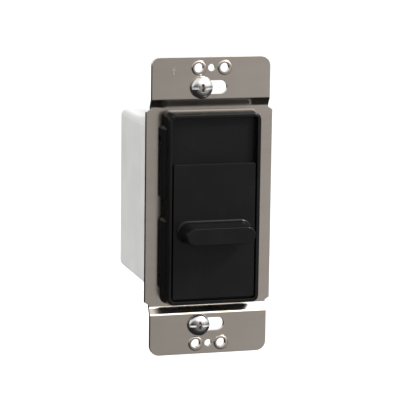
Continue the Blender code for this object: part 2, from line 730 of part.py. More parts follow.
# ---------------------------------------------------------------- ground terminal
def build_ground_terminal():
    outline = ((3.5, -29.2), (4.5, -29.2), (4.5, -33.3), (13.2, -33.3), (13.2, -34.3), (3.5, -34.3))
    bm = bmesh.new()
    add_prism(bm, outline, -4.6, 4.6, "x")
    tab = make("ground_tab", bm, bright_steel())
    bores = bmesh.new()
    add_rod(bores, "z", (0, GROUND_Y, 0), 2.2, -36.0, -32.0, 14)
    add_rod(bores, "y", (0, 0, RIVET_Z), 1.5, 2.5, 5.5, 14)
    cut(tab, bores)
    rivet = bmesh.new()
    profile = ((1.9, 1.2), (4.8, 1.2), (4.8001, 1.7), (5.3, 1.6), (5.6, 0.9))
    add_turned(rivet, "y", (0, 0, RIVET_Z), profile, 14)
    make("ground_rivet", rivet, material("rivet_steel", (0.5, 0.5, 0.5), 0.35, 1.0))
    green = material("green_screw", (0.03, 0.25, 0.08), 0.3, 1.0)
    driven_screw("ground_screw", "z", (0, GROUND_Y, 0), (-29.5, -34.6, -36.5), 1.9, 3.8, green)


# ---------------------------------------------------------------- captive mounting screws
def build_mounting_screws():
    for name, end in (("upper", 1), ("lower", -1)):
        z = end * BOX_SCREW_Z
        driven_screw(f"mounting_screw_{name}", "y", (SCREW_X, 0, z), (26.0, -0.3, -2.4), 1.7, 3.93,
                     bright_steel())
        bm = bmesh.new()
        add_box(bm, (SCREW_X - 4.0, 1.9, z - 3.5), (SCREW_X + 4.0, 2.7, z + 3.5))
        fibre = material("fibre", (0.55, 0.5, 0.42), 0.8)
        retainer = make(f"screw_retainer_{name}", bm, fibre, (SCREW_X, 1.9, z))
        bore = bmesh.new()
        add_rod(bore, "y", (SCREW_X, 0, z), 2.0, 1.0, 4.0, 14)
        cut(retainer, bore)


def main():
    clear_scene()
    build_strap()
    build_front_frame()
    build_slider_plate()
    build_slide_carriage()
    build_carriage_screw()
    build_friction_spring()
    build_fader()
    build_switch()
    build_circuit_board()
    build_triac()
    build_choke()
    build_small_parts()
    build_rear_housing()
    build_housing_screws()
    build_terminals()
    build_ground_terminal()
    build_mounting_screws()


main()
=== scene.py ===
import json
import math

import bmesh
import bpy
from mathutils import Matrix, Vector

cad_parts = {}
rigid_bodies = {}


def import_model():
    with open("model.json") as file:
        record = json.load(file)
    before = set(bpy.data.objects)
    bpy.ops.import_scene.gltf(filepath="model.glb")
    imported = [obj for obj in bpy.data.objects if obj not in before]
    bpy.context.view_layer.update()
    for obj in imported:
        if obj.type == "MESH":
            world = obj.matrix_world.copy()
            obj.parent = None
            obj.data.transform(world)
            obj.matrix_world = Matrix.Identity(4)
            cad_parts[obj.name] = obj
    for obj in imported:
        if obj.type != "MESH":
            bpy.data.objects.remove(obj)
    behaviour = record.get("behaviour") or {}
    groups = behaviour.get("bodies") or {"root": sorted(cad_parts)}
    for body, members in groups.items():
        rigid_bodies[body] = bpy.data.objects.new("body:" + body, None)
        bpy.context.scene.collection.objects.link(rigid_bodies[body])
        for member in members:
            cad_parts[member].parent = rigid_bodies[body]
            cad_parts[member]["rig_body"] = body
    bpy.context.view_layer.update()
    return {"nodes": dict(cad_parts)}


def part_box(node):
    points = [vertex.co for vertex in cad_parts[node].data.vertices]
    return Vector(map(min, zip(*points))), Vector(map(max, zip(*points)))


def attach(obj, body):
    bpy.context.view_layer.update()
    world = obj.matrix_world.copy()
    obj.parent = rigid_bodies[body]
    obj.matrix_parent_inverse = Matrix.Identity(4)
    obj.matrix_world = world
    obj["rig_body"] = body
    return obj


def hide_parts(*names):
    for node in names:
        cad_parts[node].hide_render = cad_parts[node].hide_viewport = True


# The dimmer's finished pieces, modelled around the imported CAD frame.
# Sizes in the dictionaries are millimetres. X is right, Z is up and Y goes back into the wall.

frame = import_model()
mm = 0.001
nodes = frame["nodes"]
print("frame loaded:", len(nodes), "nodes")


def leaveAll():
    active = bpy.context.view_layer.objects.active
    if active and active.mode != "OBJECT":
        bpy.ops.object.mode_set(mode="OBJECT")
    bpy.ops.object.select_all(action="DESELECT")


def edit(piece):
    leaveAll()
    bpy.context.view_layer.objects.active = piece
    piece.select_set(True)
    bpy.ops.object.mode_set(mode="EDIT")
    bpy.ops.mesh.select_all(action="SELECT")


def choose(piece, kind, test):
    # selects the verts, edges or faces for which test(centre in mm, element) is true
    bpy.context.tool_settings.mesh_select_mode = (kind == "verts", kind == "edges", kind == "faces")
    bpy.ops.mesh.select_all(action="DESELECT")
    mesh = bmesh.from_edit_mesh(piece.data)
    mesh.normal_update()
    for element in getattr(mesh, kind):
        corners = [element] if kind == "verts" else element.verts
        centre = sum((v.co for v in corners), Vector()) / len(corners) / mm
        if test(centre, element):
            element.select_set(True)
    mesh.select_flush_mode()
    bmesh.update_edit_mesh(piece.data)


def settle(piece):
    # puts the place, turn and size of the object into its mesh
    leaveAll()
    bpy.context.view_layer.objects.active = piece
    piece.select_set(True)
    bpy.ops.object.transform_apply(location=True, rotation=True, scale=True)
    return piece


def block(name, low, high):
    low, high = Vector(low), Vector(high)
    leaveAll()
    bpy.ops.mesh.primitive_cube_add(size=1, location=(low + high) / 2 * mm)
    piece = bpy.context.object
    piece.scale = (high - low) * mm
    piece.name = piece.data.name = name
    return settle(piece)


def turned(name, axis, centre, profile, sides=32):
    # a disc drawn out step by step: profile holds (distance along the axis, radius)
    turn = {"x": (0, math.pi / 2, 0), "y": (-math.pi / 2, 0, 0), "z": (0, 0, 0)}[axis]
    along = Vector([float(letter == axis) for letter in "xyz"])
    across = Vector((1, 1, 1)) - along
    base = Vector([c * a for c, a in zip(centre, across)])
    leaveAll()
    bpy.ops.mesh.primitive_circle_add(vertices=sides, radius=profile[0][1] * mm, fill_type="NGON",
                                      location=(base + along * profile[0][0]) * mm, rotation=turn)
    piece = bpy.context.object
    piece.name = piece.data.name = name
    settle(piece)
    edit(piece)
    for (here, radius), (there, nextRadius) in zip(profile, profile[1:]):
        bpy.ops.mesh.extrude_region_move(TRANSFORM_OT_translate={"value": along * (there - here) * mm})
        share = nextRadius / radius
        bpy.ops.transform.resize(value=tuple(1 if a else share for a in along),
                                 center_override=tuple((base + along * there) * mm))
    bpy.ops.mesh.select_all(action="SELECT")
    bpy.ops.mesh.normals_make_consistent(inside=False)
    leaveAll()
    return piece


def rod(axis, centre, radius, ends, sides):
    return turned("rod", axis, centre, ((ends[0], radius), (ends[1], radius)), sides)


def roundEdges(piece, test, radius, segments=3):
    edit(piece)
    choose(piece, "edges", test)
    bpy.ops.mesh.bevel(offset=radius * mm, offset_type="OFFSET", segments=segments, profile=0.5,
                       affect="EDGES", clamp_overlap=True)
    leaveAll()


def alongAxis(edge, axis):
    way = (edge.verts[1].co - edge.verts[0].co).normalized()
    return abs(way["xyz".index(axis)]) > 0.999


def foldOf(edge):
    # angle between the two faces of an edge, in degrees
    return math.degrees(edge.calc_face_angle(0))


def combine(target, tool, operation):
    modifier = target.modifiers.new(operation, "BOOLEAN")
    modifier.operation = operation
    modifier.solver = "EXACT"
    modifier.object = tool
    leaveAll()
    bpy.context.view_layer.objects.active = target
    target.select_set(True)
    bpy.ops.object.modifier_apply(modifier=modifier.name)
    bpy.data.objects.remove(tool, do_unlink=True)
    return target


def merged(name, pieces):
    leaveAll()
    for piece in pieces:
        piece.select_set(True)
    bpy.context.view_layer.objects.active = pieces[0]
    bpy.ops.object.join()
    pieces[0].name = pieces[0].data.name = name
    return pieces[0]


def cut(target, pieces):
    # cutters that don't touch each other
    return combine(target, merged(target.name + "Cutter", pieces), "DIFFERENCE")


def cutEach(target, pieces):
    for piece in pieces:
        combine(target, piece, "DIFFERENCE")
    return target


def unite(target, pieces):
    for piece in pieces:
        combine(target, piece, "UNION")
    return target


def stadium(name, halfLength, halfHeight, centre, yLow, yHigh, steps=8):
    # a slot-shaped bar lying along X
    piece = block(name, (centre[0] - halfLength, yLow, centre[1] - halfHeight),
                  (centre[0] + halfLength, yHigh, centre[1] + halfHeight))
    roundEdges(piece, lambda c, e: alongAxis(e, "y"), halfHeight - 0.01, steps)
    return piece


def twin(piece, name):
    # a copy with a mesh of its own
    other = piece.copy()
    other.data = piece.data.copy()
    other.name = other.data.name = name
    bpy.context.scene.collection.objects.link(other)
    return other


def shift(piece, x=0, y=0, z=0):
    piece.location = Vector((x, y, z)) * mm
    return settle(piece)


def deliver(piece, node, finish, angle=32):
    # the piece stands for its CAD node and rides on that node's body
    leaveAll()
    bpy.context.view_layer.objects.active = piece
    piece.select_set(True)
    bpy.ops.object.shade_smooth_by_angle(angle=math.radians(angle))
    # keeps the flats flat beside their round edges
    weigh = piece.modifiers.new("weigh", "WEIGHTED_NORMAL")
    weigh.keep_sharp = True
    weigh.weight = 100
    bpy.ops.object.modifier_apply(modifier="weigh")
    piece.data.materials.clear()
    piece.data.materials.append(finish)
    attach(piece, nodes[node]["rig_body"])
    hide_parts(node)
    leaveAll()
    return piece


class Signal:
    # one shader socket that can be used in plain arithmetic
    def __init__(self, tree, socket=None):
        self.tree = tree
        self.socket = socket

    def node(self, kind, settings=None, sockets=None, output=0):
        made = self.tree.nodes.new(kind)
        for key, value in (settings or {}).items():
            setattr(made, key, value)
        for key, value in (sockets or {}).items():
            feed(self.tree, made.inputs[key], value)
        return Signal(self.tree, made.outputs[output])

    def reckon(self, operation, first, second):
        return self.node("ShaderNodeMath", {"operation": operation}, {0: first, 1: second})

    def __add__(self, other):
        return self.reckon("ADD", self, other)

    def __radd__(self, other):
        return self.reckon("ADD", other, self)

    def __sub__(self, other):
        return self.reckon("SUBTRACT", self, other)

    def __rsub__(self, other):
        return self.reckon("SUBTRACT", other, self)

    def __mul__(self, other):
        return self.reckon("MULTIPLY", self, other)

    def __rmul__(self, other):
        return self.reckon("MULTIPLY", other, self)


def feed(tree, socket, value):
    if isinstance(value, Signal):
        tree.links.new(value.socket, socket)
    elif isinstance(value, (tuple, list)) and len(value) == 3 and len(socket.default_value) == 4:
        socket.default_value = (*value, 1)
    else:
        socket.default_value = value


def makeFinish(name, fixed, pattern):
    # fixed holds the values that are the same all over; pattern(place) returns those that change
    material = bpy.data.materials.new(name)
    material.use_nodes = True
    tree = material.node_tree
    shader = tree.nodes["Principled BSDF"]
    place = Signal(tree).node("ShaderNodeTexCoord", output="Object")
    for key, value in {**fixed, **pattern(place)}.items():
        feed(tree, shader.inputs[key], value)
    return material


def stretched(place, scale, turn=(0, 0, 0)):
    return place.node("ShaderNodeMapping", {}, {"Vector": place, "Scale": scale, "Rotation": turn})


def grain(place, scale, detail=2.0, rough=0.5, warp=0.0):
    return place.node("ShaderNodeTexNoise", {}, {"Vector": place, "Scale": scale, "Detail": detail,
                                                 "Roughness": rough, "Distortion": warp})


def span(value, fromLow, fromHigh, toLow, toHigh):
    return value.node("ShaderNodeMapRange", {"clamp": True},
                      {"Value": value, "From Min": fromLow, "From Max": fromHigh,
                       "To Min": toLow, "To Max": toHigh})


def smooth(value, ends):
    # rises softly from 0 at the first end to 1 at the other
    return value.node("ShaderNodeMapRange", {"interpolation_type": "SMOOTHSTEP"},
                      {"Value": value, "From Min": ends[0], "From Max": ends[1]})


def blendColour(factor, first, second):
    return factor.node("ShaderNodeMix", {"data_type": "RGBA"}, {0: factor, 6: first, 7: second}, output=2)


def relief(height, strength, depth):
    return height.node("ShaderNodeBump", {}, {"Strength": strength, "Distance": depth * mm, "Height": height})


def axisOf(place, axis):
    return place.node("ShaderNodeSeparateXYZ", {}, {"Vector": place}, output=axis)


def edgeGlow(place):
    # 0 on flats and in hollows, up to 1 on convex edges
    return place.node("ShaderNodeNewGeometry", output="Pointiness")


strapFinish = {"pale": (0.665, 0.6, 0.535), "dark": (0.575, 0.51, 0.45), "roughness": 0.13, "streak": 0.07,
               "arrow": (-13.4, 47.4), "arrowSize": (0.16, 0.75, 2.8), "etched": (0.74, 0.71, 0.68)}


def etchedArrow(place):
    # a plain arrow that says which end is up: 1 on the mark, 0 elsewhere
    middle, height = strapFinish["arrow"]
    shaft, head, size = strapFinish["arrowSize"]
    x, y, z = (axisOf(place, axis) * 1000.0 for axis in "XYZ")
    off = (x - middle).node("ShaderNodeMath", {"operation": "ABSOLUTE"}, {0: x - middle})
    below = (height + size / 2) - z
    onShaft = smooth(off, (shaft + 0.05, shaft)) * smooth(below, (size, size - 0.05))
    onHead = smooth(off - below * 0.55, (0.03, -0.03)) * smooth(below, (head * 1.6, head * 1.6 - 0.05))
    both = onShaft.node("ShaderNodeMath", {"operation": "MAXIMUM"}, {0: onShaft, 1: onHead})
    return both * smooth(below, (0, 0.05)) * smooth(y, (0.5, 0.2))


def brushedSteel(place):
    lines = grain(stretched(place, (0.03, 1, 1)), 5200.0, 3.0, 0.6)
    bands = grain(stretched(place, (0.12, 1, 1)), 260.0, 3.0, 0.6)
    clouds = grain(place, 55.0, 3.0)
    shade = span(lines * 0.45 + bands * 0.25 + clouds * 0.3, 0.3, 0.7, 0, 1)
    mark = etchedArrow(place) * 0.5
    steel = blendColour(shade, strapFinish["dark"], strapFinish["pale"])
    rough = strapFinish["roughness"] + lines * strapFinish["streak"] + clouds * 0.04 + mark * 0.2
    return {"Base Color": blendColour(mark, steel, strapFinish["etched"]), "Roughness": rough,
            "Normal": relief(lines + bands * 0.5, 0.16, 0.012)}


# shadeAndStain is the brown used for painted shade in hollows and in the cross, and for random stain clouds
screwFinish = {"plate": (0.64, 0.635, 0.625), "shadeAndStain": (0.2, 0.14, 0.1), "roughness": 0.18,
               "axis": (0.00365, 0, 0.04167)}


def platedSteel(place):
    clouds = grain(place, 420.0, 4.0, 0.6)
    fine = grain(place, 2600.0, 2.0)
    # painted shade: brown darkening in hollows and creases found from pointiness; the clouds below add random
    # stains
    hollow = span(edgeGlow(place), 0.42, 0.5, 1, 0)
    return {"Base Color": blendColour(hollow * 0.7 + span(clouds, 0.55, 0.75, 0, 0.25),
                                      screwFinish["plate"], screwFinish["shadeAndStain"]),
            "Roughness": screwFinish["roughness"] + clouds * 0.1 + fine * 0.05,
            "Normal": relief(fine, 0.1, 0.01)}


def turnedSteel(place):
    # the mounting screws: rings left by turning, and brown painted shade down in the middle of the cross,
    # broken up by clouds
    middle = place.node("ShaderNodeVectorMath", {"operation": "SUBTRACT"},
                        {0: place.node("ShaderNodeVectorMath", {"operation": "ABSOLUTE"}, {0: place}),
                         1: screwFinish["axis"]})
    flat = middle.node("ShaderNodeVectorMath", {"operation": "MULTIPLY"}, {0: middle, 1: (1000, 0, 1000)})
    radius = flat.node("ShaderNodeVectorMath", {"operation": "LENGTH"}, {0: flat}, output="Value")
    rings = (radius * 30.0).node("ShaderNodeMath", {"operation": "SINE"}, {0: radius * 30.0})
    clouds = grain(place, 420.0, 4.0, 0.6)
    fine = grain(place, 2600.0, 2.0)
    # painted shade: brown darkening towards the middle of the cross recess, broken up by clouds
    shadeAndStain = smooth(radius, (1.6, 0.9)) * smooth(clouds, (0.2, 0.6)) * 0.75
    return {"Base Color": blendColour(shadeAndStain * 0.85, screwFinish["plate"], screwFinish["shadeAndStain"]),
            "Roughness": screwFinish["roughness"] + clouds * 0.1 + shadeAndStain * 0.25 + fine * 0.04,
            "Normal": relief(rings * 0.5 + fine * 0.5, 0.45, 0.012)}


blackFinish = {"deep": (0.0036, 0.0036, 0.0036), "raised": (0.005, 0.005, 0.005), "roughness": 0.23}


def moulded(place, dark, light, roughness, spread=0.08, strength=0.12):
    # fine spark texture from the mould, with slow clouds from the flow of the plastic
    spark = grain(place, 6500.0, 2.0, 0.55)
    flow = grain(place, 90.0, 2.0, 0.5, 0.6)
    return {"Base Color": blendColour(span(spark * 0.4 + flow * 0.6, 0.35, 0.65, 0, 1), dark, light),
            "Roughness": roughness + (flow - 0.5) * spread + (spark - 0.5) * spread,
            "Normal": relief(spark, strength, 0.012)}


def blackPlastic(place):
    return moulded(place, blackFinish["deep"], blackFinish["raised"], blackFinish["roughness"])


greyFinish = {"shade": (0.515, 0.515, 0.507), "light": (0.565, 0.565, 0.556), "roughness": 0.46}


def greyPlastic(place):
    return moulded(place, greyFinish["shade"], greyFinish["light"], greyFinish["roughness"], 0.1, 0.2)


def brassMetal(place):
    clouds = grain(place, 340.0, 4.0, 0.6)
    fine = grain(stretched(place, (1, 0.1, 1)), 3000.0, 2.0)
    return {"Base Color": blendColour(span(clouds, 0.35, 0.7, 0, 1), (0.78, 0.56, 0.25), (0.5, 0.33, 0.13)),
            "Roughness": 0.2 + clouds * 0.18 + fine * 0.06, "Normal": relief(fine, 0.12, 0.012)}


def zincMetal(place):
    cells = place.node("ShaderNodeTexVoronoi", {}, {"Vector": place, "Scale": 700.0}, output="Distance")
    fine = grain(place, 2400.0, 2.0)
    return {"Base Color": blendColour(cells, (0.68, 0.67, 0.62), (0.5, 0.5, 0.5)),
            "Roughness": 0.26 + cells * 0.16 + fine * 0.06, "Normal": relief(fine, 0.15, 0.012)}


def greenMetal(place):
    clouds = grain(place, 380.0, 3.0, 0.6)
    worn = span(edgeGlow(place), 0.53, 0.62, 0, 0.8)
    return {"Base Color": blendColour(worn + clouds * 0.1, (0.035, 0.3, 0.1), (0.55, 0.5, 0.36)),
            "Roughness": 0.22 + clouds * 0.2, "Normal": relief(clouds, 0.1, 0.01)}


def springSteel(place):
    lines = grain(stretched(place, (1, 1, 0.05)), 4000.0, 2.0)
    return {"Base Color": blendColour(lines, (0.45, 0.44, 0.42), (0.6, 0.59, 0.57)),
            "Roughness": 0.2 + lines * 0.16, "Normal": relief(lines, 0.1, 0.01)}


def acetalPlastic(place):
    return moulded(place, (0.68, 0.65, 0.56), (0.78, 0.76, 0.69), 0.42, 0.1)


def phenolicBoard(place):
    fibres = grain(stretched(place, (1, 1, 0.15)), 1400.0, 4.0, 0.7)
    return {"Base Color": blendColour(fibres, (0.018, 0.03, 0.022), (0.05, 0.07, 0.05)),
            "Roughness": 0.5 + fibres * 0.2, "Normal": relief(fibres, 0.2, 0.02)}


def glassBoard(place):
    weave = place.node("ShaderNodeTexBrick", {"offset": 0.5},
                       {"Vector": stretched(place, (1, 1, 1), (math.pi / 2, 0, 0)), "Scale": 900.0,
                        "Mortar Size": 0.08, "Color1": (0.6, 0.6, 0.6, 1),
                        "Color2": (0.9, 0.9, 0.9, 1)}, output="Fac")
    clouds = grain(place, 120.0, 3.0)
    return {"Base Color": blendColour(weave * 0.4 + clouds * 0.6, (0.018, 0.13, 0.05), (0.05, 0.2, 0.085)),
            "Roughness": 0.28 + clouds * 0.12, "Normal": relief(weave, 0.15, 0.01)}


def darkEpoxy(place):
    return moulded(place, (0.014, 0.014, 0.015), (0.03, 0.03, 0.032), 0.55, 0.12, 0.3)


def micaSheet(place):
    flakes = place.node("ShaderNodeTexVoronoi", {}, {"Vector": place, "Scale": 500.0}, output="Distance")
    return {"Base Color": blendColour(flakes, (0.62, 0.55, 0.4), (0.42, 0.36, 0.25)),
            "Roughness": 0.2 + flakes * 0.2, "Normal": relief(flakes, 0.2, 0.02)}


def ironPowder(place):
    specks = grain(place, 3000.0, 3.0, 0.7)
    return {"Base Color": blendColour(span(specks, 0.4, 0.65, 0, 1), (0.42, 0.38, 0.08), (0.6, 0.55, 0.2)),
            "Roughness": 0.5 + specks * 0.2, "Normal": relief(specks, 0.35, 0.03)}


def copperWire(place):
    clouds = grain(place, 800.0, 3.0)
    return {"Base Color": blendColour(clouds, (0.42, 0.13, 0.05), (0.62, 0.25, 0.1)),
            "Roughness": 0.18 + clouds * 0.14}


def redBox(place):
    return moulded(place, (0.28, 0.045, 0.03), (0.36, 0.07, 0.045), 0.35, 0.08)


def bandedBody(place):
    # painted rings on the resistor's blue-grey coat
    along = axisOf(place, "X") * (1 / mm)
    rings = place.node("ShaderNodeTexWave", {"wave_type": "BANDS", "bands_direction": "X"},
                       {"Vector": place, "Scale": 150.0, "Distortion": 0.4, "Detail": 1.0})
    coat = grain(place, 1500.0, 3.0)
    ring = span(rings, 0.78, 0.84, 0, 1) * span(along, -1.2, -1.1, 0, 1)
    return {"Base Color": blendColour(ring, (0.2, 0.3, 0.38), (0.45, 0.12, 0.03)),
            "Roughness": 0.4 + coat * 0.2, "Normal": relief(coat, 0.25, 0.03)}


def glassBody(place):
    clouds = grain(place, 900.0, 3.0)
    return {"Base Color": blendColour(clouds, (0.07, 0.12, 0.26), (0.13, 0.2, 0.36)),
            "Roughness": 0.08 + clouds * 0.1}


def ceramicCoat(place):
    dimples = grain(place, 1800.0, 3.0, 0.6)
    return {"Base Color": blendColour(dimples, (0.42, 0.2, 0.04), (0.58, 0.31, 0.09)),
            "Roughness": 0.4 + dimples * 0.15, "Normal": relief(dimples, 0.3, 0.04)}


def blueCoat(place):
    dimples = grain(place, 1700.0, 3.0, 0.6)
    return {"Base Color": blendColour(dimples, (0.02, 0.09, 0.34), (0.05, 0.16, 0.48)),
            "Roughness": 0.3 + dimples * 0.15, "Normal": relief(dimples, 0.3, 0.04)}


def tanFibre(place):
    strands = grain(stretched(place, (0.25, 1, 1)), 2600.0, 5.0, 0.75, 0.8)
    clouds = grain(place, 500.0, 3.0)
    tone = span(strands * 0.7 + clouds * 0.3, 0.35, 0.65, 0, 1)
    return {"Base Color": blendColour(tone, (0.34, 0.29, 0.22), (0.58, 0.52, 0.42)),
            "Roughness": 0.75 + strands * 0.2, "Normal": relief(strands, 0.5, 0.05)}


metal = {"Metallic": 1.0}
finishes = {
    "strap": makeFinish("brushedStrapSteel", {**metal, "Anisotropic": 0.35}, brushedSteel),
    "screw": makeFinish("platedScrewSteel", metal, platedSteel),
    "mountScrew": makeFinish("turnedScrewSteel", metal, turnedSteel),
    "black": makeFinish("blackPlastic", {"Specular IOR Level": 0.17}, blackPlastic),
    "grey": makeFinish("lightGreyPlastic", {"Specular IOR Level": 0.45}, greyPlastic),
    "brass": makeFinish("terminalBrass", metal, brassMetal),
    "zinc": makeFinish("zincPlate", metal, zincMetal),
    "green": makeFinish("greenScrewCoat", {"Metallic": 0.9}, greenMetal),
    "spring": makeFinish("springSteel", metal, springSteel),
    "acetal": makeFinish("naturalAcetal", {"Specular IOR Level": 0.5}, acetalPlastic),
    "phenolic": makeFinish("phenolicLaminate", {}, phenolicBoard),
    "board": makeFinish("glassFibreBoard", {"Coat Weight": 0.3}, glassBoard),
    "epoxy": makeFinish("darkEpoxy", {}, darkEpoxy),
    "mica": makeFinish("micaSheet", {"Coat Weight": 0.4}, micaSheet),
    "iron": makeFinish("ironPowderPaint", {}, ironPowder),
    "copper": makeFinish("enamelledCopper", {"Metallic": 0.8, "Coat Weight": 0.5}, copperWire),
    "film": makeFinish("filmBoxRed", {}, redBox),
    "resistor": makeFinish("resistorCoat", {}, bandedBody),
    "glass": makeFinish("diacGlass", {"Coat Weight": 0.6}, glassBody),
    "ceramic": makeFinish("ceramicCoat", {}, ceramicCoat),
    "blue": makeFinish("varistorCoat", {"Coat Weight": 0.3}, blueCoat),
    "fibre": makeFinish("vulcanisedFibre", {}, tanFibre),
}
print("finishes made:", len(finishes))


cameraSetup = {"azimuth": 16.06, "elevation": 10.077, "roll": 0.739, "distance": 0.7237, "lens": 188.04,
               "aimRight": -0.00345, "aimUp": 0.0023}
# the sky is bright all round and dark below; ahead of the object it is a dim panel with a bright band above
skySetup = {"bright": 1.16, "dark": 0.02, "fade": (-0.15, 0.12), "aheadLift": 0.3,
            "panel": 0.65, "panelTop": 5.0, "panelHigh": 0.9,
            "panelFoot": (-0.55, -0.38), "panelRise": (0.06, 0.26), "panelFall": (0.45, 0.65),
            "panelFront": (0.45, 0.8), "panelSide": (-0.25, 0.6)}
keySetup = {"way": (1.0, -1.04, 1.3), "distance": 0.9, "size": 0.24, "power": 10.0}
floorSetup = {"height": -0.3, "size": 40.0, "pale": (0.93, 0.93, 0.93), "shade": (0.9, 0.9, 0.9)}


def setCamera():
    turn, lift, roll = (math.radians(cameraSetup[k]) for k in ("azimuth", "elevation", "roll"))
    back = Vector((-math.sin(turn) * math.cos(lift), -math.cos(turn) * math.cos(lift), math.sin(lift)))
    right = Vector((math.cos(turn), -math.sin(turn), 0))
    up = back.cross(right)
    rolledRight = math.cos(roll) * right + math.sin(roll) * up
    rolledUp = -math.sin(roll) * right + math.cos(roll) * up
    data = bpy.data.cameras.new("productCamera")
    data.lens = cameraSetup["lens"]
    data.sensor_width = 36
    data.clip_end = 100
    camera = bpy.data.objects.new("productCamera", data)
    place = back * cameraSetup["distance"] + right * cameraSetup["aimRight"] + up * cameraSetup["aimUp"]
    turnMatrix = Matrix((rolledRight, rolledUp, back)).transposed().to_4x4()
    camera.matrix_world = Matrix.Translation(place) @ turnMatrix
    bpy.context.scene.collection.objects.link(camera)
    bpy.context.scene.camera = camera


def setSky():
    world = bpy.data.worlds.new("studio")
    world.use_nodes = True
    bpy.context.scene.world = world
    tree = world.node_tree
    way = Signal(tree).node("ShaderNodeTexCoord", output="Generated")
    x, y, z = (axisOf(way, axis) for axis in "XYZ")
    ahead = smooth(y * -1.0, skySetup["panelFront"])
    room = (skySetup["dark"] + smooth(z - ahead * skySetup["aheadLift"], skySetup["fade"])
            * (skySetup["bright"] - skySetup["dark"]))
    panel = (skySetup["dark"] + smooth(z, skySetup["panelFoot"]) * (skySetup["panel"] - skySetup["dark"])
             + smooth(z, skySetup["panelRise"]) * (skySetup["panelTop"] - skySetup["panel"])
             + smooth(z, skySetup["panelFall"]) * (skySetup["panelHigh"] - skySetup["panelTop"]))
    share = ahead * smooth(x, skySetup["panelSide"])
    feed(tree, tree.nodes["Background"].inputs["Color"], (1, 1, 1))
    feed(tree, tree.nodes["Background"].inputs["Strength"], room + share * (panel - room))


def setKey():
    data = bpy.data.lights.new("keyLight", "AREA")
    data.shape = "DISK"
    data.size = keySetup["size"]
    data.energy = keySetup["power"]
    key = bpy.data.objects.new("keyLight", data)
    way = Vector(keySetup["way"]).normalized()
    key.location = way * keySetup["distance"]
    key.rotation_euler = way.to_track_quat("Z", "Y").to_euler()
    bpy.context.scene.collection.objects.link(key)


def paleFloor(place):
    clouds = grain(place, 3.0, 3.0)
    return {"Base Color": blendColour(clouds, floorSetup["shade"], floorSetup["pale"]),
            "Roughness": 0.8 + clouds * 0.1}


def setFloor():
    leaveAll()
    bpy.ops.mesh.primitive_plane_add(size=floorSetup["size"], location=(0, 0, floorSetup["height"]))
    floor = settle(bpy.context.object)
    floor.name = floor.data.name = "floor"
    floor.data.materials.append(makeFinish("paleFloor", {"Specular IOR Level": 0.0}, paleFloor))
    floor.visible_glossy = False


setCamera()
setSky()
setKey()
setFloor()
bpy.context.scene.view_settings.view_transform = "Standard"
print("camera, light and floor set")


strap = {"earCrease": 37.5, "plateCrease": 35.2, "shoulder": (33.3, 34.3), "earHalfWidth": 21.1,
         "thickness": 1.6, "recess": 1.6, "cornerRadius": 3.4, "bendRadius": 0.55, "edgeRadius": 0.14,
         "boxScrewHeight": 41.67, "plateScrewHeight": 48.42, "slotHalfLength": 5.65, "slotHalfHeight": 2.35,
         "middleHole": 1.27, "collarSide": 4.6, "collarHole": 1.6, "smallCorner": 2.7,
         "collar": ((0.6, 2.62), (0.02, 2.61), (-0.16, 2.58), (-0.3, 2.51), (-0.38, 2.4), (-0.42, 2.26),
                    (-0.43, 1.95))}
# openings of the middle plate, behind the frame
hidden = {"window": ((-5.0, -21.0), (5.0, 16.0)), "screwSide": 16.6, "screwRise": 23.7, "screwMiddle": 0.5,
          "screwHole": 1.55, "legSide": (15.6, 17.5), "legHeight": 17.2, "legHalf": 2.1,
          "triacHole": ((-13.9, 0, 9.0), 1.7), "rivetHole": ((0, 0, -31.0), 1.5), "through": (0.5, 4.5)}


def strapSheet():
    s = strap
    low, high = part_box("strap")
    top, widest = high.z / mm, high.x / mm
    sheet = block("strapSheet", (-s["earHalfWidth"], 0, -top), (s["earHalfWidth"], s["thickness"], top))
    for height in (s["earCrease"], s["plateCrease"], s["shoulder"][1], s["shoulder"][0]):
        for end in (-1, 1):
            edit(sheet)
            bpy.ops.mesh.bisect(plane_co=(0, 0, end * height * mm), plane_no=(0, 0, 1))
    edit(sheet)
    choose(sheet, "verts", lambda c, v: abs(c.z) < s["plateCrease"] + 0.1)
    bpy.ops.transform.translate(value=(0, s["recess"] * mm, 0))
    choose(sheet, "verts", lambda c, v: abs(c.z) < s["shoulder"][0] + 0.1)
    bpy.ops.transform.resize(value=(widest / s["earHalfWidth"], 1, 1), center_override=(0, 0, 0))
    roundEdges(sheet, lambda c, e: alongAxis(e, "x") and abs(c.x) < 1
               and s["plateCrease"] - 0.3 < abs(c.z) < s["earCrease"] + 0.3, s["bendRadius"], 4)
    roundEdges(sheet, lambda c, e: alongAxis(e, "y") and abs(c.z) > top - 0.1 and not (c.x < 0 < c.z),
               s["cornerRadius"], 8)
    roundEdges(sheet, lambda c, e: alongAxis(e, "y") and c.z > top - 0.1 and c.x < -s["earHalfWidth"] + 0.1,
               s["smallCorner"], 5)
    roundEdges(sheet, lambda c, e: foldOf(e) > 70, s["edgeRadius"], 2)
    return sheet


def strapCollars():
    s = strap
    first = turned("collar", "y", (0, 0, 0), s["collar"], 40)
    collars = []
    for side in (-1, 1):
        for end in (-1, 1):
            collar = twin(first, "collar")
            collars.append(shift(collar, side * s["collarSide"], 0, end * s["plateScrewHeight"]))
    bpy.data.objects.remove(first)
    return collars


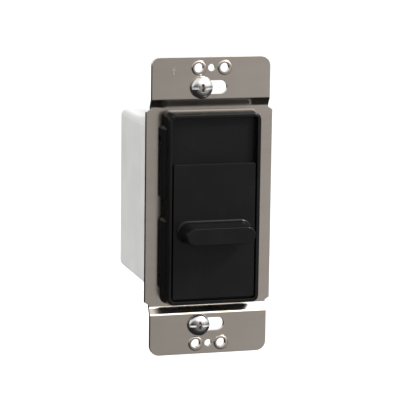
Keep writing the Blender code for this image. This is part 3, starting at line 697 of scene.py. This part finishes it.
def strapHoles():
    s, h = strap, hidden
    front, back = h["through"]
    mouth = ((-0.9, s["collarHole"] + 0.33), (-0.38, s["collarHole"] + 0.06), (-0.31, s["collarHole"]),
             (3, s["collarHole"]))
    tools = []
    for end in (-1, 1):
        height = end * s["plateScrewHeight"]
        tools.append(stadium("slot", s["slotHalfLength"], s["slotHalfHeight"],
                             (0, end * s["boxScrewHeight"]), -1, 3))
        tools.append(rod("y", (0, 0, height), s["middleHole"], (-1, 3), 28))
        for side in (-1, 1):
            tools.append(turned("hole", "y", (side * s["collarSide"], 0, height), mouth, 36))
            place = (side * h["screwSide"], 0, h["screwMiddle"] + end * h["screwRise"])
            tools.append(rod("y", place, h["screwHole"], h["through"], 20))
            near, far = sorted((side * h["legSide"][0], side * h["legSide"][1]))
            tools.append(block("legHole", (near, front, end * h["legHeight"] - h["legHalf"]),
                               (far, back, end * h["legHeight"] + h["legHalf"])))
    (left, bottom), (right, top) = h["window"]
    tools.append(block("window", (left, front, bottom), (right, back, top)))
    for place, radius in (h["triacHole"], h["rivetHole"]):
        tools.append(rod("y", place, radius, h["through"], 20))
    return tools


strapPiece = strapSheet()
unite(strapPiece, strapCollars())
cut(strapPiece, strapHoles())
deliver(strapPiece, "strap", finishes["strap"], 30)
print("strap made:", len(strapPiece.data.polygons), "faces")


rim = {"baseHalf": (17.2, 33.9), "faceHalf": (16.4, 33.2), "back": 1.3, "front": -5.8, "cornerRadius": 2.5,
       "rimRadius": 0.5, "rimWidth": 1.25, "floor": -2.9, "floorBack": -1.4, "innerEdge": 0.12,
       "padRoot": 16.6, "padOut": 17.8, "padHeights": (2.0, 29.9), "padFront": -0.8, "padToe": -3.5,
       "padSlant": 2.1, "padEdge": 0.1, "hollowHalf": (15.3, 30.6), "stemHalf": (2.5, 11.1),
       "rail": (7.6, 8.7), "railHalf": 24.0, "railBack": 0.9,
       "leg": (15.9, 17.2), "legHeight": 17.2, "legHalf": 1.7, "legBack": 5.4, "hookFrom": 3.5, "hook": 0.9}


def frameShell():
    r = rim
    shell = block("frontFrame", (-r["baseHalf"][0], r["front"], -r["baseHalf"][1]),
                  (r["baseHalf"][0], r["back"], r["baseHalf"][1]))
    roundEdges(shell, lambda c, e: alongAxis(e, "y"), r["cornerRadius"], 8)
    edit(shell)
    choose(shell, "verts", lambda c, v: c.y < r["front"] + 0.1)
    taper = (r["faceHalf"][0] / r["baseHalf"][0], 1, r["faceHalf"][1] / r["baseHalf"][1])
    bpy.ops.transform.resize(value=taper, center_override=(0, r["front"] * mm, 0))
    choose(shell, "faces", lambda c, f: f.normal.y < -0.99)
    bpy.ops.mesh.inset(thickness=r["rimWidth"] * mm, use_even_offset=True)
    bpy.ops.mesh.extrude_region_move(TRANSFORM_OT_translate={"value": (0, (r["floor"] - r["front"]) * mm, 0)})
    leaveAll()
    wide, tall = r["faceHalf"]
    roundEdges(shell, lambda c, e: c.y < r["front"] + 0.1 and foldOf(e) > 60
               and max(abs(c.x) / wide, abs(c.z) / tall) > 0.975, r["rimRadius"], 4)
    roundEdges(shell, lambda c, e: c.y < r["front"] + 0.1 and foldOf(e) > 60
               and abs(c.x) < wide - 0.8 and abs(c.z) < tall - 0.9, r["innerEdge"], 2)
    return shell


def framePads():
    r = rim
    pads = []
    low, high = r["padHeights"]
    for side in (-1, 1):
        for end in (-1, 1):
            near, far = sorted((side * (r["padRoot"] - 0.4), side * r["padOut"]))
            bottom, top = sorted((end * low, end * high))
            pad = block("pad", (near, r["padToe"], bottom), (far, r["back"], top))
            edit(pad)
            choose(pad, "verts", lambda c, v: abs(c.x) > r["padOut"] - 0.1)      # slants the ends
            bpy.ops.transform.resize(value=(1, 1, (top - bottom - 2 * r["padSlant"]) / (top - bottom)),
                                     center_override=(0, 0, (top + bottom) / 2 * mm))
            bpy.ops.mesh.select_all(action="SELECT")
            bpy.ops.mesh.bisect(plane_co=(0, r["padFront"] * mm, 0), plane_no=(0, 1, 0))
            choose(pad, "verts", lambda c, v: c.y < r["padFront"] - 0.1 and abs(c.x) > r["padOut"] - 0.1)
            inward = side * (r["padRoot"] + 0.2 - r["padOut"])
            bpy.ops.transform.translate(value=(inward * mm, 0, 0))               # slopes the front
            leaveAll()
            roundEdges(pad, lambda c, e: abs(c.x) > r["padRoot"] + 0.3 and c.y < r["back"] - 0.2
                       and foldOf(e) > 15, r["padEdge"], 2)
            pads.append(pad)
    return pads


def frameHollows():
    r = rim
    wide, tall = r["hollowHalf"]
    stemWide, stemReach = r["stemHalf"]
    return [block("hollow", (-wide, r["floorBack"], -tall), (wide, 3.0, tall)),
            block("stemSlot", (-stemWide, -4.0, -stemReach), (stemWide, 0.0, stemReach))]


def hookedLeg(side, z):
    r = rim
    near, far = sorted((side * r["leg"][0], side * r["leg"][1]))
    leg = block("leg", (near, 0.6, z - r["legHalf"]), (far, r["legBack"], z + r["legHalf"]))
    edit(leg)
    bpy.ops.mesh.bisect(plane_co=(0, r["hookFrom"] * mm, 0), plane_no=(0, 1, 0))
    choose(leg, "faces", lambda c, f: f.normal.x * side > 0.9 and c.y > r["hookFrom"] + 0.1)
    bpy.ops.mesh.extrude_region_move(TRANSFORM_OT_translate={"value": (side * r["hook"] * mm, 0, 0)})
    leaveAll()
    roundEdges(leg, lambda c, e: alongAxis(e, "z") and c.y > 5 and abs(c.x) > 17.5, 0.8, 3)
    return leg


def frameRailsAndLegs():
    r = rim
    extras = []
    for side in (-1, 1):
        near, far = sorted((side * r["rail"][0], side * r["rail"][1]))
        extras.append(block("rail", (near, r["floorBack"] - 0.4, -r["railHalf"]),
                            (far, r["railBack"], r["railHalf"])))
        extras += [hookedLeg(side, end * r["legHeight"]) for end in (-1, 1)]
    return extras


framePiece = frameShell()
unite(framePiece, framePads())
cut(framePiece, frameHollows())
unite(framePiece, frameRailsAndLegs())
deliver(framePiece, "front_frame", finishes["black"], 28)
print("front frame made:", len(framePiece.data.polygons), "faces")


slider = {"half": (14.65, 23.5), "middle": -7.6, "back": -3.2, "front": -5.7, "edgeRadius": 0.22,
          "cornerRadius": 0.6, "barFoot": (12.7, 3.24), "barTip": (12.1, 2.85), "barFront": -15.2,
          "barEdge": 0.35, "barFootY": -6.6, "filletReach": 0.9, "stemHalf": (2.2, 3.2), "stemBack": -0.2,
          "pilotRadius": 1.2, "pilot": (-3.6, 1.0)}


def sliderFace():
    s = slider
    wide, tall = s["half"]
    face = block("sliderFace", (-wide, s["front"], s["middle"] - tall), (wide, s["back"], s["middle"] + tall))
    roundEdges(face, lambda c, e: alongAxis(e, "y"), s["cornerRadius"], 4)
    roundEdges(face, lambda c, e: c.y < s["front"] + 0.05 and foldOf(e) > 60, s["edgeRadius"], 3)
    return face


def sliderBar():
    s = slider
    wide, tall = s["barFoot"]
    bar = stadium("bar", wide, tall, (0, s["middle"]), s["barFront"], s["barFootY"], 10)
    edit(bar)
    choose(bar, "verts", lambda c, v: c.y < s["barFront"] + 0.05)
    bpy.ops.transform.resize(value=(s["barTip"][0] / wide, 1, s["barTip"][1] / tall),
                             center_override=(0, s["barFront"] * mm, s["middle"] * mm))
    choose(bar, "faces", lambda c, f: f.normal.y > 0.99)
    reach = s["filletReach"]
    steps = 5
    depth = s["front"] - s["barFootY"]
    centre = (0, 0, s["middle"] * mm)
    width, height, y = wide, tall, s["barFootY"]
    for step in range(1, steps + 1):
        turn = math.radians(90 * step / steps)
        nextWidth, nextHeight = wide + reach * (1 - math.cos(turn)), tall + reach * (1 - math.cos(turn))
        nextY = s["barFootY"] + (depth + 0.02) * math.sin(turn)
        bpy.ops.mesh.extrude_region_move(TRANSFORM_OT_translate={"value": (0, (nextY - y) * mm, 0)})
        bpy.ops.transform.resize(value=(nextWidth / width, 1, nextHeight / height), center_override=centre)
        width, height, y = nextWidth, nextHeight, nextY
    bpy.ops.mesh.extrude_region_move(TRANSFORM_OT_translate={"value": (0, 0.5 * mm, 0)})
    leaveAll()
    roundEdges(bar, lambda c, e: c.y < s["barFront"] + 0.05 and foldOf(e) > 60, s["barEdge"], 5)
    return bar


sliderPiece = sliderFace()
stemWide, stemTall = slider["stemHalf"]
stem = block("stem", (-stemWide, slider["back"] - 0.5, slider["middle"] - stemTall),
             (stemWide, slider["stemBack"], slider["middle"] + stemTall))
unite(sliderPiece, [sliderBar(), stem])
cut(sliderPiece, [rod("y", (0, 0, slider["middle"]), slider["pilotRadius"], slider["pilot"], 20)])
deliver(sliderPiece, "slider_plate", finishes["black"], 28)
print("slider made:", len(sliderPiece.data.polygons), "faces")


housing = {"wall": 1.8, "cornerRadius": 2.2, "backRadius": 1.5, "bossRadius": 3.4, "screwSide": 16.6,
           "screwRise": 23.7, "screwMiddle": 0.5, "screwHole": (1.55, (2.0, 36.0)),
           "sink": ((34.5, 2.75), (42.2, 2.75), (42.6, 3.15), (44.0, 3.15)),
           "terminalHeights": (15.0, 0.5, -14.0), "terminalDepth": 27.5, "windowHalf": (5.3, 5.2),
           "windowSpan": (18.0, 24.0), "ledge": (13.1, 15.2), "ledgeFrom": 17.4, "ledgeHalf": 3,
           "wireHoleX": 18.35, "wireHoleStep": 3.5,
           "wireHole": ((38.0, 1.1), (42.0, 1.1), (42.6, 1.5), (44.0, 1.5))}


def housingShell():
    h = housing
    low, high = (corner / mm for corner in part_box("rear_housing"))
    shell = block("rearHousing", low, high)
    roundEdges(shell, lambda c, e: alongAxis(e, "y"), h["cornerRadius"], 6)
    roundEdges(shell, lambda c, e: c.y > high.y - 0.05 and foldOf(e) > 60, h["backRadius"], 5)
    roundEdges(shell, lambda c, e: c.y < low.y + 0.05 and foldOf(e) > 60, 0.25, 2)
    wall = h["wall"]
    hollow = block("hollow", (low.x + wall, low.y - 2, low.z + wall),
                   (high.x - wall, high.y - wall, high.z - wall))
    roundEdges(hollow, lambda c, e: alongAxis(e, "y"), 0.8, 3)
    cut(shell, [hollow])
    return shell, low, high


def housingInside(low, high):
    h = housing
    pieces = []
    for side in (-1, 1):
        for end in (-1, 1):
            place = (side * h["screwSide"], 0, h["screwMiddle"] + end * h["screwRise"])
            pieces.append(rod("y", place, h["bossRadius"], (low.y + 0.4, high.y - 1.0), 28))
        near, far = sorted((side * h["ledgeFrom"], side * (high.x - 1.0)))
        pieces.append(block("ledge", (near, h["ledge"][0], h["screwMiddle"] - h["ledgeHalf"]),
                            (far, h["ledge"][1], h["screwMiddle"] + h["ledgeHalf"])))
    return pieces


def housingHoles():
    h = housing
    tools, sinks = [], []
    for side in (-1, 1):
        for end in (-1, 1):
            place = (side * h["screwSide"], 0, h["screwMiddle"] + end * h["screwRise"])
            tools.append(rod("y", place, *h["screwHole"], 20))
            sinks.append(turned("sink", "y", place, h["sink"], 32))
    halfDeep, halfTall = h["windowHalf"]
    near, far = h["windowSpan"]
    y = h["terminalDepth"]
    for z in h["terminalHeights"]:
        window = block("window", (near, y - halfDeep, z - halfTall), (far, y + halfDeep, z + halfTall))
        roundEdges(window, lambda c, e: alongAxis(e, "x"), 0.5, 3)
        tools.append(window)
        for step in (-1, 1):
            place = (h["wireHoleX"], 0, z + step * h["wireHoleStep"])
            tools.append(turned("wireHole", "y", place, h["wireHole"], 24))
    return tools, sinks


housingPiece, housingLow, housingHigh = housingShell()
unite(housingPiece, housingInside(housingLow, housingHigh))
holeTools, sinkTools = housingHoles()
cut(housingPiece, holeTools)
cut(housingPiece, sinkTools)
deliver(housingPiece, "rear_housing", finishes["grey"], 30)
print("rear housing made:", len(housingPiece.data.polygons), "faces")


mountScrew = {"head": ((-0.3, 3.5), (-0.42, 3.72), (-0.62, 3.82), (-0.9, 3.84), (-1.2, 3.76), (-1.5, 3.54),
                       (-1.82, 3.12), (-2.08, 2.5), (-2.26, 1.75), (-2.36, 1.0), (-2.4, 0.35)),
              "side": -3.65, "shank": 1.7, "root": 1.32, "pitch": 0.794, "threadFrom": 1.2, "tip": 26.0,
              "slotHalf": 0.38, "slotDepth": 1.0, "slotLong": 5.0,
              "crossHalf": 1.8, "crossDepth": 1.7, "lobeHalf": 0.5}


def driveCutter(axis, centre, crown, out, size):
    # a slot right across the head, and a cross with narrowing lobes in its middle
    tools = []
    cross, lobe = size["crossHalf"], size["lobeHalf"]
    for name, halfLong, depth, halfWide in (("slot", size["slotLong"], size["slotDepth"], size["slotHalf"]),
                                            ("lobe", lobe, size["crossDepth"], cross),
                                            ("lobe", cross, size["crossDepth"], lobe)):
        inner, outer = crown - out * depth, crown + out * 1.0
        corners = []
        for sign in (-1, 1):
            point = [0, 0, 0]
            across = [a for a in range(3) if a != "xyz".index(axis)]
            point["xyz".index(axis)] = min(inner, outer) if sign < 0 else max(inner, outer)
            point[across[0]] = centre[across[0]] + sign * halfLong
            point[across[1]] = centre[across[1]] + sign * halfWide
            corners.append(point)
        tool = block(name, *corners)
        if name == "lobe":                      # the floor of the cross is smaller than its mouth
            edit(tool)
            index = "xyz".index(axis)
            choose(tool, "verts", lambda c, v: abs(c[index] - inner) < 0.05)
            middle = Vector(centre)
            middle[index] = inner
            factor = [0.35 if a != index else 1 for a in range(3)]
            narrow = across[0] if halfLong < halfWide else across[1]
            factor[narrow] = 0.8
            bpy.ops.transform.resize(value=factor, center_override=middle * mm)
            leaveAll()
        tools.append(tool)
    return tools


def threadedShank(name, s, height):
    # one vee of thread swept round and down the shank by the Screw modifier
    turns = int((s["tip"] - 2.4 - s["threadFrom"]) / s["pitch"])
    leaveAll()
    bpy.ops.mesh.primitive_plane_add(size=1, location=(0, 0, 0))
    vee = bpy.context.object
    vee.name = vee.data.name = name
    edit(vee)
    choose(vee, "verts", lambda c, v: v.index == 3)
    bpy.ops.mesh.delete(type="VERT")
    mesh = bmesh.from_edit_mesh(vee.data)
    places = ((s["root"], 0, 0), (s["shank"], 0, s["pitch"] / 2), (s["root"], 0, s["pitch"]))
    chain = orderedChain(mesh)
    for vertex, point in zip(chain, places):
        vertex.co = Vector(point) * mm
    bmesh.update_edit_mesh(vee.data)
    leaveAll()
    winder = vee.modifiers.new("winder", "SCREW")
    winder.axis = "Z"
    winder.angle = math.tau
    winder.screw_offset = s["pitch"] * mm
    winder.iterations = turns
    winder.steps = winder.render_steps = 20
    winder.use_merge_vertices = True
    winder.merge_threshold = 0.00001
    winder.use_normal_calculate = True
    bpy.context.view_layer.objects.active = vee
    vee.select_set(True)
    bpy.ops.object.modifier_apply(modifier="winder")
    vee.rotation_euler = (-math.pi / 2, 0, 0)
    vee.location = Vector((s["side"], s["threadFrom"], height)) * mm
    settle(vee)
    edit(vee)
    bpy.ops.mesh.remove_doubles(threshold=0.00001)
    bpy.ops.mesh.normals_make_consistent(inside=False)
    leaveAll()
    return vee


def orderedChain(mesh):
    mesh.verts.ensure_lookup_table()
    ends = [v for v in mesh.verts if len(v.link_edges) == 1]
    chain = [ends[0]]
    while len(chain) < 3:
        neighbours = [edge.other_vert(chain[-1]) for edge in chain[-1].link_edges]
        chain.append(next(vertex for vertex in neighbours if vertex not in chain))
    return chain


def mountingScrew(name, height):
    s = mountScrew
    centre = (s["side"], 0, height)
    head = turned(name, "y", centre, s["head"], 56)
    cutEach(head, driveCutter("y", centre, s["head"][-1][0], -1, s))
    roundEdges(head, lambda c, e: foldOf(e) > 50 and c.y < -0.7, 0.05, 2)
    begin, tip, root = s["threadFrom"], s["tip"], s["root"] + 0.02
    core = turned("core", "y", centre, ((-0.35, s["shank"]), (begin + 0.5, s["shank"]), (begin + 0.8, root),
                                        (tip - 1.4, root), (tip - 0.5, 1.1), (tip, 0.6)), 28)
    return merged(name, [head, core, threadedShank("thread", s, height)])


for name, node, height in (("upperMountingScrew", "mounting_screw_upper", strap["boxScrewHeight"]),
                           ("lowerMountingScrew", "mounting_screw_lower", -strap["boxScrewHeight"])):
    deliver(mountingScrew(name, height), node, finishes["mountScrew"], 30)
print("mounting screws made")


terminalScrew = {"head": ((20.0, 3.7), (20.12, 3.86), (20.3, 3.9), (20.8, 3.9), (21.1, 3.78), (21.45, 3.3),
                          (21.7, 2.5), (21.85, 1.5), (21.9, 0.5)),
                 "shank": ((13.4, 1.3), (14.0, 1.9), (20.05, 1.9)), "slotHalf": 0.48, "slotDepth": 1.0,
                 "slotLong": 5.0, "crossHalf": 1.8, "crossDepth": 1.3, "lobeHalf": 0.5}
groundScrew = {**terminalScrew, "depth": 8.6, "shank": ((-29.5, 1.3), (-30.1, 1.9), (-34.65, 1.9)),
               "head": ((-34.6, 3.6), (-34.72, 3.76), (-34.9, 3.8), (-35.4, 3.8), (-35.7, 3.68),
                        (-36.05, 3.2), (-36.3, 2.4), (-36.45, 1.4), (-36.5, 0.5))}
housingScrew = {"head": ((34.8, 2.25), (34.95, 2.38), (35.2, 2.4), (35.9, 2.35), (36.35, 2.05), (36.65, 1.5),
                         (36.8, 0.6)),
                "shank": ((1.9, 1.2), (34.85, 1.2)), "slotHalf": 0.32, "slotDepth": 0.8, "slotLong": 3.4,
                "crossHalf": 1.25, "crossDepth": 1.0, "lobeHalf": 0.35}


def drivenScrew(name, axis, centre, size, out):
    head = turned(name, axis, centre, size["head"], 48)
    cutEach(head, driveCutter(axis, centre, size["head"][-1][0], out, size))
    return merged(name, [head, turned("shank", axis, centre, size["shank"], 28)])


for number, z in enumerate(housing["terminalHeights"], 1):
    piece = drivenScrew(f"terminalScrew{number}", "x", (0, housing["terminalDepth"], z), terminalScrew, 1)
    deliver(piece, f"terminal_screw_{number}", finishes["brass"], 30)
piece = drivenScrew("groundScrew", "z", (0, groundScrew["depth"], 0), groundScrew, -1)
deliver(piece, "ground_screw", finishes["green"], 30)
for number in range(1, 5):
    low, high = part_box(f"housing_screw_{number}")
    middle = (low + high) / 2 / mm
    piece = drivenScrew(f"housingScrew{number}", "y", (middle.x, 0, middle.z), housingScrew, 1)
    deliver(piece, f"housing_screw_{number}", finishes["screw"], 30)
print("terminal, ground and housing screws made")


clampSize = {"bore": 2.2, "boreEnds": (17, 21), "edge": 0.15, "corner": 0.6, "rib": 0.25, "ribHalf": 0.2,
             "ribPlaces": (2.7, 3.6)}


def clampPlate(number, z):
    low, high = (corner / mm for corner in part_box(f"terminal_clamp_{number}"))
    plate = block(f"terminalClamp{number}", low, high)
    roundEdges(plate, lambda c, e: alongAxis(e, "x"), clampSize["corner"], 4)
    roundEdges(plate, lambda c, e: foldOf(e) > 60, clampSize["edge"], 2)
    tools = [rod("x", (0, housing["terminalDepth"], z), clampSize["bore"], clampSize["boreEnds"], 32)]
    half = clampSize["ribHalf"]
    for step in (-1, 1):
        for place in clampSize["ribPlaces"]:
            y = housing["terminalDepth"] + step * place
            tools.append(block("groove", (high.x - clampSize["rib"], y - half, low.z - 1),
                               (high.x + 1, y + half, high.z + 1)))
    return cut(plate, tools)


for number, z in enumerate(housing["terminalHeights"], 1):
    deliver(clampPlate(number, z), f"terminal_clamp_{number}", finishes["zinc"], 30)


def retainerWasher(name, node):
    low, high = (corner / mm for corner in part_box(node))
    washer = block(name, low, high)
    roundEdges(washer, lambda c, e: alongAxis(e, "y"), 0.9, 4)
    roundEdges(washer, lambda c, e: foldOf(e) > 60, 0.1, 2)
    middle = (low + high) / 2
    return cut(washer, [rod("y", (middle.x, 0, middle.z), 2.0, (1, 4), 32)])


for name, node in (("upperRetainer", "screw_retainer_upper"), ("lowerRetainer", "screw_retainer_lower")):
    deliver(retainerWasher(name, node), node, finishes["fibre"], 30)


tabSize = {"sheet": 1.0, "bendRadius": 1.2, "cornerRadius": 2.2, "edge": 0.1, "screwBore": 2.2,
           "rivetBore": 1.5}


def groundTab():
    t = tabSize
    low, high = (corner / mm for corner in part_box("ground_tab"))
    tab = block("groundTab", (low.x, low.y, low.z), (high.x, low.y + t["sheet"], high.z))
    edit(tab)
    bpy.ops.mesh.bisect(plane_co=(0, 0, (low.z + t["sheet"]) * mm), plane_no=(0, 0, 1))
    choose(tab, "faces", lambda c, f: f.normal.y > 0.9 and c.z < low.z + t["sheet"])
    reach = high.y - low.y - t["sheet"]
    bpy.ops.mesh.extrude_region_move(TRANSFORM_OT_translate={"value": (0, reach * mm, 0)})
    leaveAll()
    roundEdges(tab, lambda c, e: alongAxis(e, "x") and c.y < low.y + 0.1 and c.z < low.z + 0.1,
               t["bendRadius"], 4)
    roundEdges(tab, lambda c, e: alongAxis(e, "z") and c.y > high.y - 0.1, t["cornerRadius"], 6)
    roundEdges(tab, lambda c, e: foldOf(e) > 60, t["edge"], 2)
    return cut(tab, [rod("z", (0, groundScrew["depth"], 0), t["screwBore"], (-36, -32), 32),
                     rod("y", hidden["rivetHole"][0], t["rivetBore"], (2.5, 5.5), 24)])


deliver(groundTab(), "ground_tab", finishes["screw"], 30)
print("clamps, retainers and ground tab made")


# the CAD nodes that stay, with their finishes
kept = {"slide_carriage": "acetal", "carriage_screw": "screw", "friction_spring": "spring",
        "fader_body": "phenolic", "fader_cover": "zinc", "fader_lever": "acetal", "circuit_board": "board",
        "switch_body": "epoxy", "switch_lever": "spring", "triac": "epoxy", "triac_pad": "mica",
        "triac_screw": "screw", "choke_core": "iron", "choke_winding": "copper", "film_capacitor": "film",
        "power_resistor": "resistor", "diac": "glass", "trigger_capacitor": "ceramic", "varistor": "blue",
        "terminal_contact_1": "brass", "terminal_contact_2": "brass", "terminal_contact_3": "brass",
        "ground_rivet": "zinc"}
for node, finish in kept.items():
    for slot in nodes[node].material_slots:
        slot.material = finishes[finish]
print("finishes given to", len(kept), "CAD nodes")
